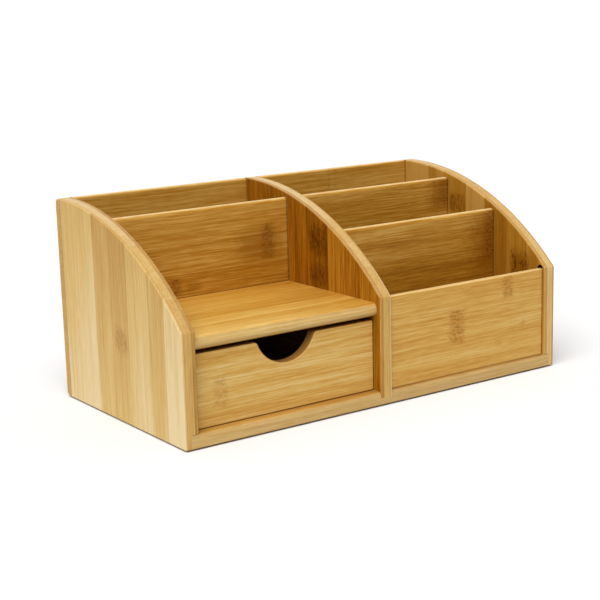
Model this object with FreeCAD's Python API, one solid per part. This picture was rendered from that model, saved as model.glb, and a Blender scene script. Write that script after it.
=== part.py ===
import FreeCAD, Part
import os
from math import sqrt

# Desk organizer of laminated bamboo board with one drawer, in millimetres.
# The origin is the middle of the footprint on the table. X runs right, Y runs back and Z runs up,
# so the open front with the drawer faces -Y.

# Overall sizes
overall_width = 270.0
overall_depth = 140.0
overall_height = 120.0
front_height = 63.5

# Board thicknesses
upright_thickness = 8.5
base_thickness = 8.0
shelf_thickness = 8.0
back_thickness = 5.5
partition_thickness = 4.5

# How boards are let into their neighbours
base_housing = 4.5
divider_housing = 4.0
groove_depth = 2.5
groove_play = 0.4

# Shelf over the drawer
shelf_height = 60.0
shelf_nose_inset = 3.0
shelf_nose_round = 3.5
shelf_tongue_thickness = 4.0
shelf_tongue_stop = 9.0

# Partitions: their tops lie below the arc of the uprights by these drops
partition_drop = 3.2
front_panel_drop = 4.9
front_panel_inset = 1.8

# Worked edges
arris_round = 0.8
front_corner_round = 1.5
back_edge_round = 3.0
back_lip_round = 1.5
base_nose_round = 2.5

# Drawer and the gaps that let it run
drawer_inset = 5.8
drawer_side_gap = 0.6
drawer_running_gap = 0.3
drawer_rear_gap = 0.4
drawer_top_gap = 2.2
drawer_front_thickness = 6.0
drawer_wall = 5.0
drawer_side_drop = 3.0
drawer_bottom_thickness = 3.0
drawer_bottom_lift = 4.0
drawer_groove_depth = 2.5
drawer_lap = 3.0
drawer_back_inset = 4.0
drawer_edge_round = 0.8
drawer_corner_round = 1.2
notch_radius = 20.0
notch_depth = 14.2
notch_shoulder_round = 2.5

# Faces that the pieces share
half_width = overall_width / 2
front_face = -overall_depth / 2
rear_face = overall_depth / 2
case_rear = rear_face - back_thickness
side_inner = half_width - upright_thickness
divider_span = (-upright_thickness / 2, upright_thickness / 2)
left_bay = (-side_inner, divider_span[0])
right_bay = (divider_span[1], side_inner)
bays = (left_bay, right_bay)
case_depth = (front_face, case_rear)
shelf_underside = shelf_height - shelf_thickness

# Arc over the uprights: level where it meets the back panel, down to the front corner
arc_run = case_rear - front_face
arc_rise = overall_height - front_height
arc_radius = (arc_run**2 + arc_rise**2) / (2 * arc_rise)

# Lengthwise places: behind the front panel, the partitions leave equal cells on the right
front_panel_depth = (front_face + front_panel_inset, front_face + front_panel_inset + partition_thickness)
front_panel_centre = sum(front_panel_depth) / 2
right_partitions = 2
right_cells = right_partitions + 1
cell_depth = (case_rear - front_panel_depth[1] - right_partitions * partition_thickness) / right_cells
middle_partition_centre = front_panel_centre + cell_depth + partition_thickness
rear_partition_centre = middle_partition_centre + cell_depth + partition_thickness

# Drawer faces
drawer_span = (left_bay[0] + drawer_side_gap, left_bay[1] - drawer_side_gap)
drawer_inside = (drawer_span[0] + drawer_wall, drawer_span[1] - drawer_wall)
drawer_grooves = (drawer_inside[0] - drawer_groove_depth, drawer_inside[1] + drawer_groove_depth)
drawer_front_face = front_face + drawer_inset
drawer_front_back = drawer_front_face + drawer_front_thickness
drawer_end = case_rear - drawer_rear_gap
drawer_back_depth = (drawer_end - drawer_back_inset - drawer_wall, drawer_end - drawer_back_inset)
drawer_low = base_thickness + drawer_running_gap
drawer_front_top = shelf_underside - drawer_top_gap
drawer_side_top = drawer_front_top - drawer_side_drop
drawer_bottom_low = drawer_low + drawer_bottom_lift
drawer_bottom_top = drawer_bottom_low + drawer_bottom_thickness

TINY = 1e-6


def point(x, y, z):
    return FreeCAD.Vector(x, y, z)


def arc_height(y):
    """Height of the uprights' arc at one depth."""
    return overall_height - arc_radius + sqrt(arc_radius**2 - (case_rear - y)**2)


def board(x_span, y_span, z_span):
    """Square-edged board between two values on each axis."""
    spans = (x_span, y_span, z_span)
    sizes = [high - low for low, high in spans]
    corner = point(*[low for low, high in spans])
    return Part.makeBox(*sizes, corner)


def extruded(outline, x_span):
    """Solid of a closed outline in the YZ plane, drawn out along X."""
    wire = Part.Wire([curve.toShape() for curve in outline])
    face = Part.Face(wire)
    face.translate(point(x_span[0], 0, 0))
    return face.extrude(point(x_span[1] - x_span[0], 0, 0))


def round_ended(start, end, width):
    """Outline of a strip in the YZ plane, square at its start and half-round at its end."""
    along = (end - start).normalize()
    across = point(1, 0, 0).cross(along) * (width / 2)
    centre = end - along * (width / 2)
    return [
        Part.LineSegment(start - across, centre - across),
        Part.Arc(centre - across, end, centre + across),
        Part.LineSegment(centre + across, start + across),
        Part.LineSegment(start + across, start - across),
    ]


def partition_top(centre):
    """Height of a partition that stands at this depth."""
    return arc_height(centre) - partition_drop


def let_in(bay, depth):
    """Span of a board that enters the uprights on both sides of its bay."""
    return (bay[0] - depth, bay[1] + depth)


def rounded_edges(solid, radius, test):
    """The solid with a fillet on every edge whose bounding box passes the test."""
    return solid.makeFillet(radius, [edge for edge in solid.Edges if test(edge.BoundBox)])


def rounding_waste(x_span, front, top, radius):
    """What a rounded front top edge takes off a square board between two places along X."""
    axis_y = front + radius
    axis_z = top - radius
    square = board(x_span, (front, axis_y), (axis_z, top))
    axis_start = point(x_span[0], axis_y, axis_z)
    return square.cut(Part.makeCylinder(radius, x_span[1] - x_span[0], axis_start, point(1, 0, 0)))


def make_upright(x_span):
    """Board under the shared arc, its front corner eased and every edge but the rear ones broken."""
    front_foot = point(0, front_face, 0)
    front_top = point(0, front_face, front_height)
    rear_top = point(0, case_rear, overall_height)
    rear_foot = point(0, case_rear, 0)
    arc_middle_y = (front_face + case_rear) / 2
    arc_middle = point(0, arc_middle_y, arc_height(arc_middle_y))
    outline = [
        Part.LineSegment(front_foot, front_top),
        Part.Arc(front_top, arc_middle, rear_top),
        Part.LineSegment(rear_top, rear_foot),
        Part.LineSegment(rear_foot, front_foot),
    ]

    def is_front_corner(box):
        return box.YMax < front_face + TINY and box.ZMin > front_height - TINY

    def is_broken(box):
        on_face = box.XLength < TINY and box.YMin < case_rear - TINY
        front_foot_edge = box.YMax < front_face + TINY and box.ZMax < TINY
        return on_face or front_foot_edge

    solid = rounded_edges(extruded(outline, x_span), front_corner_round, is_front_corner)
    return rounded_edges(solid, arris_round, is_broken)


def make_side_panel(x_span, base, cuts):
    """Outer upright with a rabbet for the base and grooves for the pieces that are let in."""
    rabbet = board(base, case_depth, (0, base_thickness))
    return make_upright(x_span).cut([rabbet] + cuts)


def make_divider(cuts):
    """Middle upright, its foot cut to stand in the base, with grooves on both sides."""
    under_foot = board(divider_span, case_depth, (0, base_thickness - divider_housing))
    return make_upright(divider_span).cut([under_foot] + cuts)


def make_base(x_span):
    """Base board, its front edges broken, with a rounded nose between the side panels."""

    def is_front_long_edge(box):
        return box.YMax < front_face + TINY and box.ZLength < TINY

    solid = board(x_span, case_depth, (0, base_thickness))
    solid = rounded_edges(solid, arris_round, is_front_long_edge)
    nose = rounding_waste((-side_inner, side_inner), front_face, base_thickness, base_nose_round)
    dado = board(divider_span, case_depth, (base_thickness - divider_housing, base_thickness))
    return solid.cut([nose, dado])


def make_back():
    """Board across the whole back, its rear long edges and its lip in each bay rounded, its ends broken."""

    def is_rear_long_edge(box):
        return box.YMin > rear_face - TINY and box.ZLength < TINY

    def is_broken(box):
        return box.XLength < TINY and box.YMax > case_rear + TINY

    solid = board((-half_width, half_width), (case_rear, rear_face), (0, overall_height))
    solid = rounded_edges(solid, back_edge_round, is_rear_long_edge)
    solid = rounded_edges(solid, arris_round, is_broken)
    return solid.cut([rounding_waste(bay, case_rear, overall_height, back_lip_round) for bay in bays])


def make_shelf():
    """Shelf with a rounded nose and a stopped tongue at each end."""
    nose = front_face + shelf_nose_inset

    def is_nose_edge(box):
        return box.YMax < nose + TINY and box.ZLength < TINY

    shelf = board(left_bay, (nose, case_rear), (shelf_underside, shelf_height))
    shelf = rounded_edges(shelf, shelf_nose_round, is_nose_edge)
    middle = (shelf_underside + shelf_height) / 2
    tongue_start = point(0, case_rear, middle)
    tongue_end = point(0, nose + shelf_tongue_stop, middle)
    tongue = round_ended(tongue_start, tongue_end, shelf_tongue_thickness)
    return shelf.fuse(extruded(tongue, let_in(left_bay, groove_depth))).removeSplitter()


def make_groove(bay, centre, foot, round_start):
    """Cutter for a thin board's grooves, with play in front of the board and a half-round end."""
    width = partition_thickness + groove_play
    middle = centre - groove_play / 2
    groove_end = point(0, middle, round_start + width / 2)
    outline = round_ended(point(0, middle, foot), groove_end, width)
    return extruded(outline, let_in(bay, groove_depth))


def make_partition(bay, centre, foot):
    """Thin board between two uprights with a half-round top edge, standing on what is below it."""
    top = point(0, centre, partition_top(centre))
    outline = round_ended(point(0, centre, foot), top, partition_thickness)
    return extruded(outline, let_in(bay, groove_depth))


def make_partition_groove(bay, centre, foot):
    """Cutter for a partition's grooves, whose ends follow its half-round top edge."""
    return make_groove(bay, centre, foot, partition_top(centre) - partition_thickness / 2)


def make_front_panel(top):
    """Low front wall of the right-hand bay, with its top edges broken."""
    solid = board(let_in(right_bay, groove_depth), front_panel_depth, (base_thickness, top))
    return rounded_edges(solid, arris_round, lambda box: box.ZMin > top - TINY and box.YLength < TINY)


def make_drawer_front(bottom):
    """Drawer front with a finger notch, end rabbets for the sides and a groove for the bottom."""
    solid = board(drawer_span, (drawer_front_face, drawer_front_back), (drawer_low, drawer_front_top))
    solid = rounded_edges(solid, drawer_corner_round, lambda box: box.XLength < TINY and box.ZLength < TINY)
    notch_x = sum(drawer_span) / 2
    notch_z = drawer_front_top - notch_depth + notch_radius
    notch_start = point(notch_x, drawer_front_face, notch_z)
    notch = Part.makeCylinder(notch_radius, drawer_front_thickness, notch_start, point(0, 1, 0))
    half_mouth = sqrt(notch_radius**2 - (notch_radius - notch_depth)**2)

    def is_shoulder(box):
        crosswise = box.XLength < TINY and box.ZMin > drawer_front_top - TINY
        return crosswise and abs(box.XMin - notch_x) < half_mouth + TINY

    solid = rounded_edges(solid.cut(notch), notch_shoulder_round, is_shoulder)
    solid = rounded_edges(solid, drawer_edge_round, lambda box: box.YMax < drawer_front_face + TINY)
    lap = (drawer_front_back - drawer_lap, drawer_front_back)
    left_lap = board((drawer_span[0], drawer_inside[0]), lap, (drawer_low, drawer_front_top))
    right_lap = board((drawer_inside[1], drawer_span[1]), lap, (drawer_low, drawer_front_top))
    return solid.cut([left_lap, right_lap, bottom])


def make_drawer_side(x_span):
    """Drawer side with its top edges broken, a groove for the bottom and a dado for the back."""

    def is_top_arris(box):
        return box.XLength < TINY and box.ZMin > drawer_side_top - TINY

    depth = (drawer_front_back - drawer_lap, drawer_end)
    solid = board(x_span, depth, (drawer_low, drawer_side_top))
    solid = rounded_edges(solid, drawer_edge_round, is_top_arris)
    groove = board(drawer_grooves, depth, (drawer_bottom_low, drawer_bottom_top))
    dado = board(drawer_grooves, drawer_back_depth, (drawer_bottom_low, drawer_side_top))
    return solid.cut([groove, dado])


def make_drawer_back():
    """Drawer back, standing on the bottom in the dados of the sides."""

    def is_top_arris(box):
        return box.YLength < TINY and box.ZMin > drawer_side_top - TINY

    solid = board(drawer_grooves, drawer_back_depth, (drawer_bottom_top, drawer_side_top))
    return rounded_edges(solid, drawer_edge_round, is_top_arris)


def make_drawer_bottom():
    """Thin bottom in the grooves of the front and sides, slid in under the back."""
    depth = (drawer_front_back - drawer_groove_depth, drawer_back_depth[1])
    return board(drawer_grooves, depth, (drawer_bottom_low, drawer_bottom_top))


# Pieces that are let into others, and what is cut from the uprights beside each bay
base_span = (-side_inner - base_housing, side_inner + base_housing)
front_panel_top = arc_height(front_panel_centre) - front_panel_drop
drawer_shelf = make_shelf()
drawer_bottom = make_drawer_bottom()
left_cuts = [
    drawer_shelf,
    make_partition_groove(left_bay, rear_partition_centre, shelf_height),
]
right_cuts = [
    make_partition_groove(right_bay, rear_partition_centre, base_thickness),
    make_partition_groove(right_bay, middle_partition_centre, base_thickness),
    make_groove(right_bay, front_panel_centre, base_thickness, front_panel_top),
]

pieces = {
    "base_board": make_base(base_span),
    "left_side_panel": make_side_panel((-half_width, -side_inner), base_span, left_cuts),
    "right_side_panel": make_side_panel((side_inner, half_width), base_span, right_cuts),
    "centre_divider": make_divider(left_cuts + right_cuts),
    "back_panel": make_back(),
    "drawer_shelf": drawer_shelf,
    "left_partition": make_partition(left_bay, rear_partition_centre, shelf_height),
    "right_rear_partition": make_partition(right_bay, rear_partition_centre, base_thickness),
    "right_middle_partition": make_partition(right_bay, middle_partition_centre, base_thickness),
    "right_front_panel": make_front_panel(front_panel_top),
    "drawer_front": make_drawer_front(drawer_bottom),
    "drawer_left_side": make_drawer_side((drawer_span[0], drawer_inside[0])),
    "drawer_right_side": make_drawer_side((drawer_inside[1], drawer_span[1])),
    "drawer_back": make_drawer_back(),
    "drawer_bottom": drawer_bottom,
}

os.makedirs("parts", exist_ok=True)
for name, shape in pieces.items():
    shape.exportStep(f"parts/{name}.step")
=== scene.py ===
from dataclasses import dataclass
from math import radians
import bpy
from mathutils import Color, Matrix, Vector


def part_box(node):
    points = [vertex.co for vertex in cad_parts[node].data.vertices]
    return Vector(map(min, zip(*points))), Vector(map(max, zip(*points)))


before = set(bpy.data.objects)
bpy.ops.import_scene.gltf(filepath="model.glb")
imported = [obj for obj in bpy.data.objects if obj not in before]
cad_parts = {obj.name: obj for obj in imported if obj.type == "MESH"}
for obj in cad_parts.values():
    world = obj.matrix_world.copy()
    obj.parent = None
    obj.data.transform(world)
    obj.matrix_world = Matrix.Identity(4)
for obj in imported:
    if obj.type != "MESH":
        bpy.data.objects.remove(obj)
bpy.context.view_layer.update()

MM = 0.001
X, Y, Z = range(3)


def linear(code):
    """Linear colour of a six-digit sRGB code."""
    channels = [int(code[i:i + 2], 16) / 255 for i in (0, 2, 4)]
    return (*Color(channels).from_srgb_to_scene_linear(), 1.0)


class Graph:
    """Nodes of one material or world, added by short calls that give back output sockets."""

    def __init__(self, owner):
        self.owner = owner
        owner.use_nodes = True
        self.tree = owner.node_tree

    def put(self, socket, value):
        """Fills an input with another node's output or with a plain value."""
        if isinstance(value, bpy.types.NodeSocket):
            self.tree.links.new(value, socket)
        else:
            socket.default_value = value

    def node(self, kind, inputs, **settings):
        """Adds a node and gives it back whole, for its callers to pick an output."""
        made = self.tree.nodes.new("ShaderNode" + kind)
        for key, value in settings.items():
            setattr(made, key, value)
        for key, value in inputs.items():
            self.put(made.inputs[key], value)
        return made

    def math(self, operation, *values):
        return self.node("Math", dict(enumerate(values)), operation=operation).outputs[0]

    def vector(self, operation, *values):
        return self.node("VectorMath", dict(enumerate(values)), operation=operation).outputs[0]

    def parts(self, vector):
        """The three numbers of a vector."""
        return self.node("SeparateXYZ", {"Vector": vector}).outputs

    def ease(self, value, start, end):
        """0 before start and 1 after end, with a smooth step between them."""
        inputs = {"Value": value, "From Min": start, "From Max": end}
        return self.node("MapRange", inputs, interpolation_type="SMOOTHSTEP").outputs["Result"]

    def ramp(self, factor, stops):
        """Colours at places from 0 to 1."""
        made = self.node("ValToRGB", {"Fac": factor})
        elements = made.color_ramp.elements
        for place, _ in stops[1:-1]:
            elements.new(place)
        for element, (place, colour) in zip(elements, stops):
            element.position = place
            element.color = colour
        return made.outputs["Color"]

    def mix(self, factor, first, second):
        """Colour between two colours."""
        return self.node("Mix", {0: factor, 6: first, 7: second}, data_type="RGBA").outputs[2]

    def blend(self, factor, first, second):
        """Number between two numbers."""
        return self.node("Mix", {0: factor, 2: first, 3: second}, data_type="FLOAT").outputs[0]

    def seen_directly(self):
        """1 for rays that show a surface to the camera, straight or reflected, and 0 for other light."""
        rays = self.node("LightPath", {}).outputs
        reflected = self.math("MAXIMUM", rays["Is Glossy Ray"], rays["Is Transmission Ray"])
        return self.math("MAXIMUM", rays["Is Camera Ray"], reflected)


@dataclass
class Wood:
    """Bamboo of one shade: colours of its pale, usual and deep fibres and of its scars, then how much
    its fibres and the wider bands of them show."""
    pale: str
    usual: str
    deep: str
    scar: str
    fibres: float
    bands: float


@dataclass
class Knuckle:
    """A joint of the bamboo's stem in one strip: its middle and half sizes in millimetres, how much its
    deep halo and its dark strokes show, and the share of its half width that fades out."""
    along: float
    across: float
    half_length: float
    half_width: float
    halo: float
    strokes: float
    fade: float = 0.2


@dataclass
class Strips:
    """Strips glued side by side: their wood, the borders between them in millimetres, their tones and their
    knuckles, and the tone gained per millimetre along the grain. Tone 0 is the usual shade, and tones
    above 0 are deeper."""
    wood: Wood
    borders: tuple
    tones: tuple
    knuckles: tuple = ()
    rise: float = 0.0


@dataclass
class Cover:
    """Wood of a cut edge, or painted light on the tops of cut edges: its pale and deep colours, and how
    much of it shows over the board's own.
    """
    pale: str
    deep: str
    share: float


@dataclass
class Slot:
    """A slot with a round top end in an upright's face: where it starts and ends along X, then its middle
    along Y, the height of its round end's centre, and its half width, in millimetres."""
    start: float
    end: float
    middle: float
    top: float
    half_width: float


# Shades of the bamboo, from pale to deep, of its cut edges with painted light on their tops, and of its
# arrises with a painted highlight, glue with painted joint shade, and slots with painted shade
STRAW = Wood("EAD2A0", "D8B46C", "BC8E44", "96683A", 0.55, 0.35)
HONEY = Wood("E2C482", "D2A656", "BA7E2B", "7A4608", 0.85, 0.5)
GOLD = Wood("D3AD5E", "C08E38", "A06414", "7E4A0C", 0.8, 0.5)
OCHRE = Wood("CDA765", "B4873F", "96682A", "7E4A0C", 0.8, 0.5)
# AMBER and CARAMEL, on the faces inside the bays, are deeper partly as the boards' own tone and partly as
# painted shade of the bays
AMBER = Wood("CC9F4E", "AE7820", "804802", "5C3203", 0.8, 0.5)
TOFFEE = Wood("C69648", "AE7822", "8A5208", "4E2A02", 0.5, 0.5)
CARAMEL = Wood("B88224", "9C600C", "6C3C02", "422002", 0.9, 0.6)
CUT_PLY = Cover("DAB26A", "B68840", 0.5)
CUT_BOARD = Cover("DAB26A", "B68840", 0.6)
CUT_NOSE = Cover("E4C98E", "CEA864", 0.63)
# Drawer front's cut edges and top: darker edge wood, partly painted shade of its slot and notch
CUT_DRAWER_SHADED = Cover("986428", "7A4C18", 0.6)
# Painted shade: darker tops of the cut edges of the uprights, base and shelf, against the light from above
TOP_PAINTED_SHADE = Cover("B09060", "907040", 0.35)
NOSE_TOP_PAINTED_SHADE = Cover("B09060", "907040", 0.6)
# Paler tops of the other boards' cut edges: sanded, and a painted highlight of the light from above
SANDED_TOP_AND_HIGHLIGHT = Cover("E6CF9C", "D0AC6A", 0.6)
BRIGHT_ARRIS = linear("EAD3A0")
GLUE_AND_SHADE = linear("6A4415")
HOLLOW_SHADE = linear("2A1806")

# Lengths and widths of the marks in the bamboo, in millimetres
FINE_FIBRE = (36.0, 0.8)
MEDIUM_FIBRE = (60.0, 1.6)
FLECK = (9.0, 0.6)
BAND = (150.0, 7.0)
SWAY = (45.0, 8.0)
SWAY_REACH = 1.6
STROKE = (2.6, 1.2)
CRACKLE = (3.5, 3.5)
BLOTCH = (6.0, 6.0)

# Detail of the noise that makes the marks, and its mean
SMOOTH = 1.0
USUAL = 2.0
ROUGH = 3.0
NOISE_MEAN = 0.5

# Reach of the glued seams, the painted joint shade and the worn arrises with their painted highlight to
# each side, in millimetres, and how much of them shows
SEAM_HALF_WIDTH = 0.15
PLY_SEAM_HALF_WIDTH = 0.2
JOINT_REACH = 1.0
ARRIS_REACH = 0.8
SEAM_GLUE = 0.13
PLY_GLUE = 0.25
JOINT_SHADE = 0.75
ARRIS_WEAR_AND_HIGHLIGHT = 0.2

# Shares of the fibres of each size in the grain, and where a wood's colours lie on the scale of depth
FINE_SHARE = 0.9
MEDIUM_SHARE = 0.45
FLECK_SHARE = 0.6
PALE_DEPTH = 0.15
USUAL_DEPTH = 0.5
DEEP_DEPTH = 0.9
COVER_PALE_DEPTH = 0.2
COVER_DEEP_DEPTH = 0.8

# Distance in millimetres by which the grain of strips differs for each unit of tone
TONE_SHIFT = 937.0

# Knuckles: noise between which a stroke comes in, how ragged they are along and across the grain, and where
# they come in along it, as shares of their half sizes
STROKE_NOISE = (-0.1, 0.2)
RAGGED_ALONG = 0.8
RAGGED_ACROSS = 0.2
KNUCKLE_ENDS = (1.2, 0.3)

# Turns of a face between which a look comes in: the part of its normal along the board's thickness for cut
# edges, upward for their tops, and along the rounded normal for arrises. A face with more than the last of
# these toward the back is turned to the back.
EDGE_TURN = (0.9, 0.5)
TOP_TURN = (0.1, 0.7)
ARRIS_TURN = (0.99, 0.85)
BACKWARD_TURN = 0.5

# Surface of the boards: sheen, how much the fibres change it, and their relief, its height in millimetres
ROUGHNESS = 0.42
ROUGHNESS_CHANGE = 0.25
SPECULAR_LEVEL = 0.15
RELIEF_STRENGTH = 0.3
RELIEF_HEIGHT = 0.12


class Board(Graph):
    """Material of one board, which knows the axis of its grain and the axis across its strips."""

    def __init__(self, name, grain, across):
        super().__init__(bpy.data.materials.new(name + "_bamboo"))
        self.grain = grain
        self.thickness = X + Y + Z - grain - across
        self.sideways = [float(axis == across) for axis in (X, Y, Z)]
        place = self.node("TexCoord", {}).outputs["Object"]
        self.place = self.vector("DIVIDE", place, (MM, MM, MM))
        self.axes = self.parts(self.place)
        self.along = self.axes[grain]
        self.across = self.axes[across]
        self.normal = self.node("NewGeometry", {}).outputs["Normal"]
        self.turned = self.parts(self.normal)

    def noise(self, point, size, detail=USUAL):
        """Noise about 0 drawn out along the grain, in marks of about this length and width."""
        length, width = size
        pitch = [width, width, width]
        pitch[self.grain] = length
        vector = self.vector("DIVIDE", point, pitch)
        made = self.node("TexNoise", {"Vector": vector, "Scale": 1.0, "Detail": detail})
        return self.math("SUBTRACT", made.outputs["Fac"], NOISE_MEAN)

    def strip_tone(self, strips):
        """Tone of the strip at each place, and whether the place is on a glued seam."""
        tone = strips.tones[0]
        seam = 0.0
        for border, before, after in zip(strips.borders, strips.tones, strips.tones[1:]):
            past = self.math("GREATER_THAN", self.across, border)
            tone = self.math("MULTIPLY_ADD", past, after - before, tone)
            seam = self.math("MAXIMUM", seam, self.math("COMPARE", self.across, border, SEAM_HALF_WIDTH))
        return tone, seam

    def lay_grain(self, tone):
        """Makes the marks that the wood is coloured with. Strips of other tones get other fibres."""
        point = self.vector("ADD", self.place, self.math("MULTIPLY", tone, TONE_SHIFT))
        sway = self.math("MULTIPLY", self.noise(point, SWAY), SWAY_REACH)
        point = self.vector("MULTIPLY_ADD", sway, self.sideways, point)
        self.fine = self.noise(point, FINE_FIBRE)
        self.medium = self.noise(point, MEDIUM_FIBRE)
        self.band = self.noise(point, BAND, SMOOTH)
        thread = self.math("MULTIPLY", self.fine, FINE_SHARE)
        thread = self.math("MULTIPLY_ADD", self.medium, MEDIUM_SHARE, thread)
        self.thread = self.math("MULTIPLY_ADD", self.noise(point, FLECK), FLECK_SHARE, thread)
        self.blotch = self.noise(self.place, BLOTCH)
        self.strokes = self.ease(self.noise(self.place, STROKE), *STROKE_NOISE)
        self.crackle = self.noise(self.place, CRACKLE, ROUGH)

    def knuckle_marks(self, knuckle):
        """Halo and strokes of a knuckle, ragged at its ends."""
        along = self.math("DIVIDE", self.math("SUBTRACT", self.along, knuckle.along), knuckle.half_length)
        across = self.math("DIVIDE", self.math("SUBTRACT", self.across, knuckle.across), knuckle.half_width)
        along = self.math("ABSOLUTE", self.math("MULTIPLY_ADD", self.crackle, RAGGED_ALONG, along))
        across = self.math("ABSOLUTE", self.math("MULTIPLY_ADD", self.crackle, RAGGED_ACROSS, across))
        within = self.ease(across, 1.0, 1.0 - knuckle.fade)
        middle = self.math("MULTIPLY", within, self.ease(along, *KNUCKLE_ENDS))
        strokes = self.math("MULTIPLY", middle, self.strokes)
        return self.math("MULTIPLY", middle, knuckle.halo), self.math("MULTIPLY", strokes, knuckle.strokes)

    def layer_look(self, layer, tone):
        """Colour of a layer of strips, and its scars."""
        wood = layer.wood
        pale, usual, deep, scar = [linear(code) for code in (wood.pale, wood.usual, wood.deep, wood.scar)]
        depth = self.math("MULTIPLY_ADD", self.along, layer.rise, self.math("ADD", tone, USUAL_DEPTH))
        depth = self.math("MULTIPLY_ADD", self.thread, wood.fibres, depth)
        depth = self.math("MULTIPLY_ADD", self.band, wood.bands, depth)
        colour = self.ramp(depth, [(PALE_DEPTH, pale), (USUAL_DEPTH, usual), (DEEP_DEPTH, deep)])
        scars = 0.0
        for knuckle in layer.knuckles:
            halo, strokes = self.knuckle_marks(knuckle)
            colour = self.mix(halo, colour, deep)
            colour = self.mix(strokes, colour, scar)
            scars = self.math("MAXIMUM", scars, strokes)
        return colour, scars

    def lay_layers(self, layers, plies):
        """Colour of one layer of strips, or of plies that meet at these places along X, then their glued
        seams and their scars."""
        past = [self.math("GREATER_THAN", self.axes[X], ply) for ply in plies]
        tone, seam = self.strip_tone(layers[0])
        for share, layer in zip(past, layers[1:]):
            next_tone, next_seam = self.strip_tone(layer)
            tone = self.blend(share, tone, next_tone)
            seam = self.blend(share, seam, next_seam)
        self.lay_grain(tone)
        colour, scars = self.layer_look(layers[0], tone)
        for share, layer in zip(past, layers[1:]):
            next_colour, next_scars = self.layer_look(layer, tone)
            colour = self.mix(share, colour, next_colour)
            scars = self.blend(share, scars, next_scars)
        return colour, seam, scars

    def glue_lines(self, seam, plies):
        """How much of the glue shows, in the seams between strips and between plies."""
        glue = self.math("MULTIPLY", seam, SEAM_GLUE)
        for ply in plies:
            on_seam = self.math("COMPARE", self.axes[X], ply, PLY_SEAM_HALF_WIDTH)
            glue = self.math("MAXIMUM", glue, self.math("MULTIPLY", on_seam, PLY_GLUE))
        return glue

    def cover(self, colour, where, cover, marks):
        """Colour with a cut edge's wood, or the painted light of its top, laid over it."""
        depth = self.math("ADD", marks, USUAL_DEPTH)
        stops = [(COVER_PALE_DEPTH, linear(cover.pale)), (COVER_DEEP_DEPTH, linear(cover.deep))]
        return self.mix(self.math("MULTIPLY", where, cover.share), colour, self.ramp(depth, stops))

    def joint_lines(self, joints):
        """Painted shade, with some dark glue, in the joints where the board meets others: planes given by
        an axis and a place on it.
        Faces turned to the back have none, because the others end in front of the back panel."""
        shade = 0.0
        for axis, place in joints:
            gap = self.math("ABSOLUTE", self.math("SUBTRACT", self.axes[axis], place))
            shade = self.math("MAXIMUM", shade, self.ease(gap, JOINT_REACH, 0.0))
        shade = self.math("MULTIPLY", shade, JOINT_SHADE)
        return self.math("MULTIPLY", shade, self.math("LESS_THAN", self.turned[Y], BACKWARD_TURN))

    def in_slot(self, slot):
        """1 inside a slot, where painted shade goes, and 0 outside it."""
        depth = self.math("COMPARE", self.axes[X], (slot.start + slot.end) / 2, (slot.end - slot.start) / 2)
        aside = self.math("SUBTRACT", self.axes[Y], slot.middle)
        above = self.math("MAXIMUM", self.math("SUBTRACT", self.axes[Z], slot.top), 0.0)
        above_square = self.math("MULTIPLY", above, above)
        reach = self.math("SQRT", self.math("MULTIPLY_ADD", aside, aside, above_square))
        return self.math("MULTIPLY", depth, self.math("LESS_THAN", reach, slot.half_width))

    def edge_faces(self):
        """Where the board shows its cut edges, and where those face up."""
        edge = self.ease(self.math("ABSOLUTE", self.turned[self.thickness]), *EDGE_TURN)
        return edge, self.math("MULTIPLY", edge, self.ease(self.turned[Z], *TOP_TURN))

    def arrises(self):
        """How much two faces that meet in an outer corner are paled there: some wear, and a painted
        highlight.
        """
        rounded = self.node("Bevel", {"Radius": ARRIS_REACH * MM}).outputs["Normal"]
        turn = self.node("VectorMath", {0: rounded, 1: self.normal}, operation="DOT_PRODUCT")
        return self.math("MULTIPLY", self.ease(turn.outputs["Value"], *ARRIS_TURN), ARRIS_WEAR_AND_HIGHLIGHT)

    def finish(self, colour, scars):
        """Puts the colour on the shader, with the sheen and the relief of the fibres."""
        shader = self.tree.nodes["Principled BSDF"]
        roughness = self.math("MULTIPLY_ADD", self.medium, ROUGHNESS_CHANGE, ROUGHNESS)
        height = self.math("SUBTRACT", self.fine, scars)
        relief = {"Strength": RELIEF_STRENGTH, "Distance": RELIEF_HEIGHT * MM, "Height": height}
        self.put(shader.inputs["Base Color"], colour)
        self.put(shader.inputs["Roughness"], roughness)
        self.put(shader.inputs["Specular IOR Level"], SPECULAR_LEVEL)
        self.put(shader.inputs["Normal"], self.node("Bump", relief).outputs["Normal"])


def dress(name, grain, across, layers, edges, plies=(), joints=(), slot=None):
    """Gives a board its bamboo: layers of strips with the places along X where they meet, the covers of its
    cut edges and the painted light on their tops, the planes of its painted joint shade, and a slot painted
    with shade."""
    board = Board(name, grain, across)
    colour, seam, scars = board.lay_layers(layers, plies)
    edge, top = board.edge_faces()
    cut_cover, top_painted_light = edges
    colour = board.cover(colour, edge, cut_cover, board.thread)
    # Painted light on the tops of cut edges: painted shade on uprights, base and shelf, and paler tops with
    # a painted highlight on the other boards
    colour = board.cover(colour, top, top_painted_light, board.blotch)
    colour = board.mix(board.glue_lines(seam, plies), colour, GLUE_AND_SHADE)
    # Painted highlight, with some wear: the arrises turn pale cream
    colour = board.mix(board.arrises(), colour, BRIGHT_ARRIS)
    # Painted shade in the joints, mixed toward the glue colour
    colour = board.mix(board.joint_lines(joints), colour, GLUE_AND_SHADE)
    # Painted shade: the inside of the slot that holds the front panel turns near black
    if slot:
        colour = board.mix(board.in_slot(slot), colour, HOLLOW_SHADE)
    board.finish(colour, scars)
    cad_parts[name].data.materials[0] = board.owner


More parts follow.
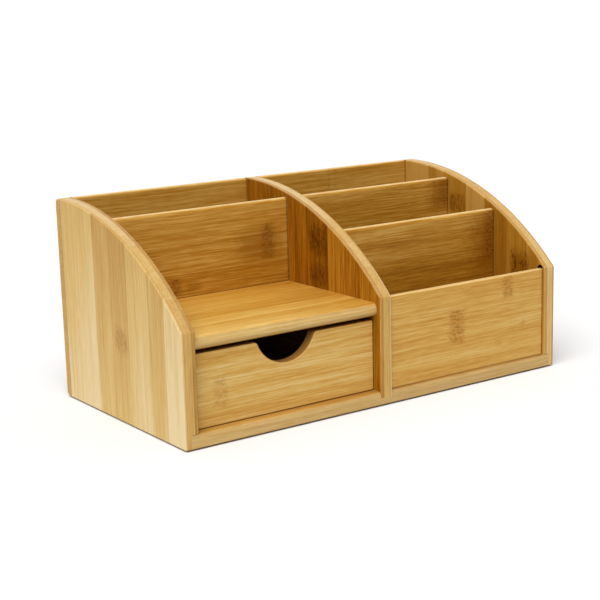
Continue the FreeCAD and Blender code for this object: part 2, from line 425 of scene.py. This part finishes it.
# Uprights: three plies with upright grain, sizes in millimetres. Here and below, strips and knuckles stand
# where the photograph shows them, and the faces that it hides have made-up ones.
THIN_PLY = 1.3
THICK_PLY = 2.4
SLOT_SKIN = 0.1
SLOT_DEPTH = 3.0
SLOT_PLAY = 0.3
UPRIGHT_BORDERS = (-53.7, -36.4, -15.4, 5.2, 27.9, 47.0)


def upright_plies(name, first, last):
    """Where an upright's core meets its plies along X, for plies of these thicknesses."""
    low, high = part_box(name)
    return low.x / MM + first, high.x / MM - last


def front_slot(start, end):
    """Slot that holds the front panel in an upright, between two places along X."""
    low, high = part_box("right_front_panel")
    half_width = (high.y - low.y) / 2 / MM + SLOT_PLAY
    return Slot(start, end, (low.y + high.y) / 2 / MM, high.z / MM, half_width)


before_back = [(Y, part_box("back_panel")[0].y / MM)]
divider_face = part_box("centre_divider")[1].x / MM
right_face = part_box("right_side_panel")[0].x / MM
divider_slot = front_slot(divider_face - SLOT_DEPTH, divider_face - SLOT_SKIN)
right_slot = front_slot(right_face + SLOT_SKIN, right_face + SLOT_DEPTH)
core = Strips(STRAW, UPRIGHT_BORDERS, (0.2, -0.05, 0.05, -0.2, -0.3, -0.3, -0.3))
dress("left_side_panel", Z, Y, [
    Strips(STRAW, (-52.5, -35.8, -13.0, 6.3, 25.5, 45.5), (-0.36, -0.04, -0.18, 0.04, -0.03, -0.33, -0.28),
           (Knuckle(47.5, -3.7, 8.5, 9.3, 0.5, 0.6, 0.5),), rise=0.0032),
    core,
    Strips(AMBER, UPRIGHT_BORDERS, (0.15, 0.25, 0.1, 0.25, 0.2, 0.0, 0.0)),
], (CUT_PLY, TOP_PAINTED_SHADE), upright_plies("left_side_panel", THIN_PLY, THICK_PLY), before_back)
dress("centre_divider", Z, Y, [
    Strips(CARAMEL, (-58.0, -40.0, -21.3, -1.8, 13.0, 32.0, 51.0),
           (-0.02, -0.08, -0.14, 0.14, 0.14, 0.1, 0.1, 0.05),
           (Knuckle(89.0, -11.5, 11.0, 9.8, 0.6, 0.9), Knuckle(68.0, -11.5, 8.5, 9.8, 0.6, 0.7))),
    core,
    Strips(STRAW, UPRIGHT_BORDERS, (-0.3, 0.1, 0.2, 0.05, 0.15, 0.1, 0.2)),
], (CUT_PLY, TOP_PAINTED_SHADE), upright_plies("centre_divider", THICK_PLY, THIN_PLY), slot=divider_slot)
dress("right_side_panel", Z, Y, [
    Strips(TOFFEE, (-53.7, -36.4, -15.4, 2.5, 24.0, 40.0), (-0.02, 0.04, 0.2, -0.3, -0.03, -0.1, -0.35),
           (Knuckle(60.0, -48.0, 13.0, 9.8, 0.8, 0.9, 0.4), Knuckle(95.5, 11.0, 8.0, 8.3, 0.5, 0.6))),
    Strips(STRAW, UPRIGHT_BORDERS, (-0.15, -0.05, 0.05, 0.35, 0.2, -0.1, -0.2)),
    Strips(AMBER, UPRIGHT_BORDERS, (0.1, 0.05, 0.0, -0.05, 0.05, -0.05, -0.1)),
], (CUT_PLY, TOP_PAINTED_SHADE), upright_plies("right_side_panel", THICK_PLY, THIN_PLY), before_back, right_slot)


# Boards with their grain along X, most of them let into the uprights at both ends of a bay
def bay_ends(left, right):
    """Planes of the painted joint shade of a board between two uprights."""
    return [(X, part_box(left)[1].x / MM), (X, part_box(right)[0].x / MM)]


left_ends = bay_ends("left_side_panel", "centre_divider")
right_ends = bay_ends("centre_divider", "right_side_panel")
shelf_low, shelf_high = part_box("drawer_shelf")
on_shelf = [(Z, shelf_high.z / MM)]
# Painted shade on the shelf's underside and the lowest millimetre of its nose, above the drawer's slot
shade_under_shelf = [(Z, shelf_low.z / MM)]
on_base = [(Z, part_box("base_board")[1].z / MM)]
dress("base_board", X, Y, [
    Strips(OCHRE, (-50, -30, -10, 10, 30, 50), (0.24, 0.3, 0.2, 0.3, 0.1, 0.3, 0.2),
           (Knuckle(15.0, -70.0, 8.0, 3.0, 0.2, 0.5),), rise=0.0021),
], (CUT_NOSE, NOSE_TOP_PAINTED_SHADE))
dress("back_panel", X, Z, [
    Strips(AMBER, (20, 40, 60, 80, 103), (-0.3, -0.3, -0.2, -0.05, -0.1, -0.17),
           (Knuckle(60.6, 114.0, 1.2, 9.0, 0.0, 0.35), Knuckle(66.4, 114.0, 1.2, 9.0, 0.0, 0.35))),
], (CUT_BOARD, SANDED_TOP_AND_HIGHLIGHT), joints=left_ends + right_ends)
dress("drawer_shelf", X, Y, [
    Strips(GOLD, (-48, -34, -14, 2, 20, 40), (0.08, 0.06, 0.2, 0.17, 0.2, 0.2, 0.2), rise=0.0024),
], (CUT_NOSE, NOSE_TOP_PAINTED_SHADE), joints=shade_under_shelf)
dress("left_partition", X, Z, [
    Strips(AMBER, (74, 98), (0.06, -0.04, -0.12),
           (Knuckle(-25.0, 85.0, 20.0, 16.0, 0.5, 0.0, 0.8), Knuckle(-19.0, 87.0, 5.5, 12.0, 0.3, 0.5),
            Knuckle(-72.0, 66.0, 6.0, 5.0, 0.35, 0.0, 0.8), Knuckle(-85.3, 67.0, 4.5, 5.5, 0.4, 0.6))),
], (CUT_BOARD, SANDED_TOP_AND_HIGHLIGHT), joints=left_ends + on_shelf)
dress("right_rear_partition", X, Z, [
    Strips(AMBER, (26, 46, 66, 90), (0, 0.1, 0, -0.05, -0.03),
           (Knuckle(127.0, 104.0, 18.0, 16.0, 0.6, 0.4, 0.6),)),
], (CUT_BOARD, SANDED_TOP_AND_HIGHLIGHT), joints=right_ends + on_base)
dress("right_middle_partition", X, Z, [
    Strips(AMBER, (26, 46, 66, 84), (0.2, 0.2, 0.18, 0.0, -0.08),
           (Knuckle(127.0, 74.0, 24.0, 28.0, 0.6, 0.2, 0.6),
            Knuckle(124.0, 80.0, 7.0, 20.0, 0.4, 0.7, 0.4))),
], (CUT_BOARD, SANDED_TOP_AND_HIGHLIGHT), joints=right_ends + on_base)
dress("right_front_panel", X, Z, [
    Strips(HONEY, (26.4, 48.5), (0.06, 0.08, 0.13),
           (Knuckle(55.6, 36.8, 7.0, 11.2, 0.5, 0.6), Knuckle(97.2, 55.5, 5.0, 7.5, 0.4, 0.5),
            Knuckle(109.6, 30.9, 3.0, 3.5, 0.1, 0.3, 0.6), Knuckle(89.3, 21.2, 3.0, 3.0, 0.1, 0.3, 0.6))),
], (CUT_BOARD, SANDED_TOP_AND_HIGHLIGHT), joints=right_ends + on_base)

# Drawer
dress("drawer_front", X, Z, [
    Strips(HONEY, (16.7, 35.8), (0.08, -0.03, -0.03), (Knuckle(-108.8, 26.2, 5.0, 9.5, 0.15, 0.3),)),
], (CUT_DRAWER_SHADED, CUT_DRAWER_SHADED))
dress("drawer_left_side", Y, Z, [Strips(HONEY, (27,), (0.0, 0.1))], (CUT_BOARD, SANDED_TOP_AND_HIGHLIGHT))
dress("drawer_right_side", Y, Z, [Strips(HONEY, (25,), (0.1, 0.0))], (CUT_BOARD, SANDED_TOP_AND_HIGHLIGHT))
dress("drawer_back", X, Z, [Strips(HONEY, (30,), (0.05, -0.05))], (CUT_BOARD, SANDED_TOP_AND_HIGHLIGHT))
dress("drawer_bottom", X, Y, [
    Strips(HONEY, (-40, -20, 0, 20, 40), (0, 0.1, -0.1, 0.05, 0.0, 0.1)),
], (CUT_BOARD, SANDED_TOP_AND_HIGHLIGHT))

# Camera: place, aim and focal length found from the photographed corners, for a square image
IMAGE_PIXELS = 600
SENSOR_WIDTH = 36.0
FOCAL_PIXELS = 1386.4
camera_place = Vector((-482.99, -673.63, 231.19)) * MM
camera_yaw, camera_pitch, camera_roll = radians(35.052), radians(12.295), radians(-1.503)
camera_data = bpy.data.cameras.new("camera")
camera_data.sensor_width = SENSOR_WIDTH
camera_data.lens = FOCAL_PIXELS * SENSOR_WIDTH / IMAGE_PIXELS
camera = bpy.data.objects.new("camera", camera_data)
bpy.context.scene.collection.objects.link(camera)
turn = Matrix.Rotation(-camera_yaw, 4, "Z")
tilt = Matrix.Rotation(radians(90) - camera_pitch, 4, "X")
roll = Matrix.Rotation(camera_roll, 4, "Z")
camera.matrix_world = Matrix.Translation(camera_place) @ turn @ tilt @ roll
bpy.context.scene.camera = camera

# Light: a wide soft lamp from above, front and left, and a pale room that is brighter overhead
LAMP_STRENGTH = 3.0
LAMP_SPREAD = radians(50)
LAMP_DIRECTION = Vector((0.55, 0.50, -1.0))
ROOM_LOW = 0.05
ROOM_RISE = 0.75
lamp_data = bpy.data.lights.new("lamp", "SUN")
lamp_data.energy = LAMP_STRENGTH
lamp_data.angle = LAMP_SPREAD
lamp = bpy.data.objects.new("lamp", lamp_data)
bpy.context.scene.collection.objects.link(lamp)
lamp.rotation_euler = LAMP_DIRECTION.to_track_quat("-Z", "Y").to_euler()

room = Graph(bpy.data.worlds.new("room"))
bpy.context.scene.world = room.owner
background = room.tree.nodes["Background"]
background.inputs["Color"].default_value = (1, 1, 1, 1)
seen = room.seen_directly()
upward = room.parts(room.node("TexCoord", {}).outputs["Generated"])[Z]
glow = room.math("MULTIPLY_ADD", room.math("MAXIMUM", upward, 0.0), ROOM_RISE, ROOM_LOW)
room.put(background.inputs["Strength"], room.blend(seen, glow, 1.0))

# Floor just under the object, shown as white in this light but throwing less of it back up
FLOOR_HALF = 20.0
FLOOR_GAP = 0.8 * MM
FLOOR_SHOWN = (0.79, 0.79, 0.79, 1)
FLOOR_BOUNCE = (0.55, 0.55, 0.55, 1)
floor_mesh = bpy.data.meshes.new("floor")
signs = [(-1, -1), (1, -1), (1, 1), (-1, 1)]
floor_mesh.from_pydata([(x * FLOOR_HALF, y * FLOOR_HALF, -FLOOR_GAP) for x, y in signs], [], [range(4)])
floor = bpy.data.objects.new("floor", floor_mesh)
bpy.context.scene.collection.objects.link(floor)
paper = Graph(bpy.data.materials.new("floor"))
paper_shader = paper.tree.nodes["Principled BSDF"]
paper.put(paper_shader.inputs["Base Color"], paper.mix(paper.seen_directly(), FLOOR_BOUNCE, FLOOR_SHOWN))
paper_shader.inputs["Roughness"].default_value = 1.0
paper_shader.inputs["Specular IOR Level"].default_value = 0.0
floor_mesh.materials.append(paper.owner)

bpy.context.scene.view_settings.view_transform = "Standard"
